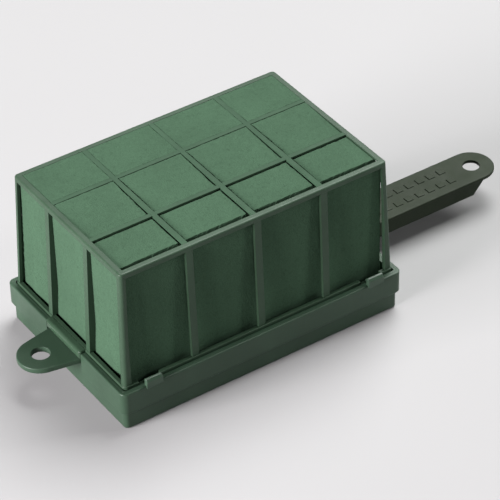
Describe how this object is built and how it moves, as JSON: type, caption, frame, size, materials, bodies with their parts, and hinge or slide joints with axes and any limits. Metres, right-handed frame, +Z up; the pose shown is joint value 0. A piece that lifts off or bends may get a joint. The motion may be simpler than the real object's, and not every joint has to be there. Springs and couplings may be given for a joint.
{
  "type": "floral foam brick",
  "caption": "Rectangular floral foam block in a slotted cage clipped over a shallow tray, with a round-holed hanging ear and a flat carry handle.",
  "frame": {"origin": "centre of the tray's underside, on the surface that it stands on", "axes": "+X along the length towards the carry handle, +Y across the width away from the front long side, +Z up"},
  "size_m": [0.2505, 0.097, 0.078],
  "materials": {
    "tray_plastic": "semi-gloss moulded",
    "handle_plastic": "semi-gloss moulded",
    "cage_plastic": "semi-gloss moulded",
    "foam": "matte, open-celled"
  },
  "bodies": {
    "tray": {"handle_back_wall": "handle_plastic", "handle_front_wall": "handle_plastic", "handle_grip_ribs": "handle_plastic", "handle_plate": "handle_plastic", "hanging_ear": "tray_plastic", "tray_back_skirt": "tray_plastic", "tray_front_skirt": "tray_plastic", "tray_tub": "tray_plastic"},
    "foam": {"foam_block": "foam"},
    "cage": {"cage_back_bar_left": "cage_plastic", "cage_back_bar_middle": "cage_plastic", "cage_back_bar_right": "cage_plastic", "cage_base_back_rail": "cage_plastic", "cage_base_front_rail": "cage_plastic", "cage_base_left_rail": "cage_plastic", "cage_base_right_rail": "cage_plastic", "cage_front_bar_left": "cage_plastic", "cage_front_bar_middle": "cage_plastic", "cage_front_bar_right": "cage_plastic", "cage_left_bar_back": "cage_plastic", "cage_left_bar_front": "cage_plastic", "cage_left_lip": "cage_plastic", "cage_post_back_left": "cage_plastic", "cage_post_back_right": "cage_plastic", "cage_post_front_left": "cage_plastic", "cage_post_front_right": "cage_plastic", "cage_right_bar_back": "cage_plastic", "cage_right_bar_front": "cage_plastic", "cage_right_lip": "cage_plastic", "cage_top_back_rail": "cage_plastic", "cage_top_cross_bar_left": "cage_plastic", "cage_top_cross_bar_middle": "cage_plastic", "cage_top_cross_bar_right": "cage_plastic", "cage_top_front_rail": "cage_plastic", "cage_top_left_rail": "cage_plastic", "cage_top_long_bar_back": "cage_plastic", "cage_top_long_bar_front": "cage_plastic", "cage_top_right_rail": "cage_plastic"},
    "snap_clip_back_left": {"snap_clip_back_left": "cage_plastic"},
    "snap_clip_back_right": {"snap_clip_back_right": "cage_plastic"},
    "snap_clip_front_left": {"snap_clip_front_left": "cage_plastic"},
    "snap_clip_front_right": {"snap_clip_front_right": "cage_plastic"}
  },
  "joints": [
    {"name": "foam_lift", "type": "slide", "parent": "tray", "child": "foam", "axis": [0, 0, 1], "range_m": [0, 0.035]},
    {"name": "cage_lift", "type": "slide", "parent": "tray", "child": "cage", "axis": [0, 0, 1], "range_m": [0, 0.1]},
    {"name": "clip_back_left_flex", "type": "hinge", "parent": "cage", "child": "snap_clip_back_left", "pos_m": [-0.0564, 0.044, 0.0203], "axis": [1, 0, 0], "range_deg": [0, 12], "stiffness_Nm_per_rad": 0.02},
    {"name": "clip_back_right_flex", "type": "hinge", "parent": "cage", "child": "snap_clip_back_right", "pos_m": [0.057, 0.044, 0.0203], "axis": [1, 0, 0], "range_deg": [0, 12], "stiffness_Nm_per_rad": 0.02},
    {"name": "clip_front_left_flex", "type": "hinge", "parent": "cage", "child": "snap_clip_front_left", "pos_m": [-0.0564, -0.044, 0.0203], "axis": [-1, 0, 0], "range_deg": [0, 12], "stiffness_Nm_per_rad": 0.02},
    {"name": "clip_front_right_flex", "type": "hinge", "parent": "cage", "child": "snap_clip_front_right", "pos_m": [0.057, -0.044, 0.0203], "axis": [-1, 0, 0], "range_deg": [0, 12], "stiffness_Nm_per_rad": 0.02}
  ],
  "couplings": [
    {"joint": "cage_lift", "follows": "foam_lift", "ratio": 2.8571}
  ]
}
